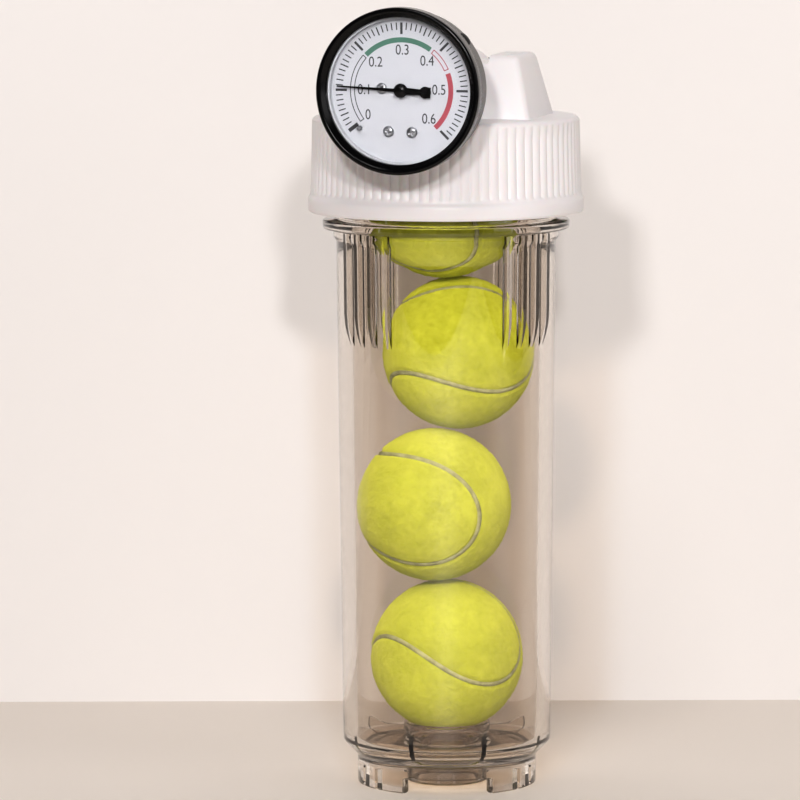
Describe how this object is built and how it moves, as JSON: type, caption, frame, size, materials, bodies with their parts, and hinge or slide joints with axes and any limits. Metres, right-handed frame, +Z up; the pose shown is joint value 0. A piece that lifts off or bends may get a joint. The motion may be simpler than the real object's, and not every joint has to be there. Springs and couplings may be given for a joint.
{
  "type": "tennis ball pressurizer",
  "caption": "Clear screw-top pressure bottle holding a stack of tennis balls, with a white knurled cap, a round dial pressure gauge and a tyre valve.",
  "frame": {"origin": "centre of the standing surface, on the bottle's axis", "axes": "+Z up the bottle, -Y out of the gauge's face, +Y out along the tyre valve"},
  "size_m": [0.117, 0.172, 0.3348],
  "materials": {
    "clear_plastic": "clear, glossy",
    "white_plastic": "satin white",
    "yellow_felt": "napped felt with a rubber seam",
    "black_rubber": "satin",
    "black_gloss": "glossy black",
    "grey_painted_steel": "dark grey paint",
    "white_dial_print": "matt white with a printed scale",
    "brass": "machined",
    "zinc_plated_steel": "zinc plated",
    "nickel_plated_brass": "nickel plated"
  },
  "bodies": {
    "bottle": {"bottle": "clear_plastic"},
    "ball_1": {"ball_1": "yellow_felt"},
    "ball_2": {"ball_2": "yellow_felt"},
    "ball_3": {"ball_3": "yellow_felt"},
    "ball_4": {"ball_4": "yellow_felt"},
    "rim_seal": {"rim_o_ring": "black_rubber"},
    "neck_seal": {"neck_o_ring": "black_rubber"},
    "cap": {"cap": "white_plastic", "gauge_case": "grey_painted_steel", "gauge_bezel": "black_gloss", "gauge_window": "clear_plastic", "window_gasket": "black_rubber", "spacer_ring": "white_dial_print", "vent_plug": "black_rubber", "dial_plate": "white_dial_print", "dial_screw_left": "zinc_plated_steel", "dial_screw_right": "zinc_plated_steel", "dial_screw_side": "zinc_plated_steel", "stop_pin": "zinc_plated_steel", "bourdon_tube": "brass", "hairspring": "brass", "movement_back_plate": "brass", "movement_front_plate": "brass", "pillar_left": "brass", "pillar_right": "brass", "pillar_low": "brass", "gauge_socket": "brass", "socket_screw_left": "zinc_plated_steel", "socket_screw_right": "zinc_plated_steel", "gauge_port_seal": "black_rubber", "valve_port_seal": "black_rubber", "valve_body": "nickel_plated_brass", "valve_core": "brass", "pin_spring": "zinc_plated_steel"},
    "needle": {"needle": "black_gloss", "pinion_shaft": "brass"},
    "sector": {"sector_gear": "brass", "sector_arbor": "zinc_plated_steel"},
    "tip_link": {"tip_link": "brass"},
    "tube_tip": {"tube_tip": "brass"},
    "valve_cap_seal": {"valve_cap_seal": "black_rubber"},
    "valve_cap": {"valve_cap": "black_gloss"},
    "valve_pin": {"valve_pin": "brass"}
  },
  "joints": [
    {"name": "cap_lift_off", "type": "slide", "parent": "bottle", "child": "rim_seal", "axis": [0, 0, 1], "range_m": [0, 0.08]},
    {"name": "cap_thread_lift", "type": "slide", "parent": "rim_seal", "child": "neck_seal", "axis": [0, 0, 1], "range_m": [0, 0.0181]},
    {"name": "cap_turn", "type": "hinge", "parent": "neck_seal", "child": "cap", "pos_m": [0, 0, 0.26], "axis": [0, 0, 1], "range_deg": [0, 1080]},
    {"name": "tube_flex", "type": "slide", "parent": "cap", "child": "tube_tip", "axis": [0.9717, 0, 0.2362], "range_m": [-0.00044, 0.00236], "stiffness_N_per_m": 500, "deforming": ["bourdon_tube"]},
    {"name": "sector_turn", "type": "hinge", "parent": "cap", "child": "sector", "pos_m": [-0.0075, -0.07, 0.28751], "axis": [0, 1, 0], "range_deg": [-25, 4.7]},
    {"name": "link_turn", "type": "hinge", "parent": "sector", "child": "tip_link", "pos_m": [-0.00715, -0.068, 0.28202], "axis": [0, 1, 0], "range_deg": [-4.7, 25]},
    {"name": "needle_turn", "type": "hinge", "parent": "cap", "child": "needle", "pos_m": [0, -0.078, 0.3005], "axis": [0, 1, 0], "range_deg": [-41.1, 221.8]},
    {"name": "valve_cap_lift", "type": "slide", "parent": "cap", "child": "valve_cap_seal", "axis": [0, 1, 0], "range_m": [0, 0.0068]},
    {"name": "valve_cap_turn", "type": "hinge", "parent": "valve_cap_seal", "child": "valve_cap", "pos_m": [0, 0.08, 0.3005], "axis": [0, 1, 0], "range_deg": [0, 3061]},
    {"name": "valve_pin_press", "type": "slide", "parent": "cap", "child": "valve_pin", "axis": [0, -1, 0], "range_m": [0, 0.0015], "stiffness_N_per_m": 100, "springref_m": -0.002, "deforming": ["pin_spring"]},
    {"name": "ball_1_rise", "type": "slide", "parent": "bottle", "child": "ball_1", "axis": [0, 0, 1], "range_m": [0, 0.0024]},
    {"name": "ball_2_rise", "type": "slide", "parent": "bottle", "child": "ball_2", "axis": [0, 0, 1], "range_m": [0, 0.0024]},
    {"name": "ball_3_rise", "type": "slide", "parent": "bottle", "child": "ball_3", "axis": [0, 0, 1], "range_m": [0, 0.0024]},
    {"name": "ball_4_rise", "type": "slide", "parent": "bottle", "child": "ball_4", "axis": [0, 0, 1], "range_m": [0, 0.0024]}
  ],
  "couplings": [
    {"joint": "cap_thread_lift", "follows": "cap_turn", "m_per_rad": 0.00095493},
    {"joint": "sector_turn", "follows": "tube_flex", "rad_per_m": -181.85},
    {"joint": "link_turn", "follows": "tube_flex", "rad_per_m": 181.85},
    {"joint": "needle_turn", "follows": "tube_flex", "rad_per_m": 1636.7},
    {"joint": "valve_cap_turn", "follows": "valve_cap_lift", "rad_per_m": 7854},
    {"joint": "ball_2_rise", "follows": "ball_1_rise", "ratio": 1},
    {"joint": "ball_3_rise", "follows": "ball_1_rise", "ratio": 1},
    {"joint": "ball_4_rise", "follows": "ball_1_rise", "ratio": 1}
  ]
}
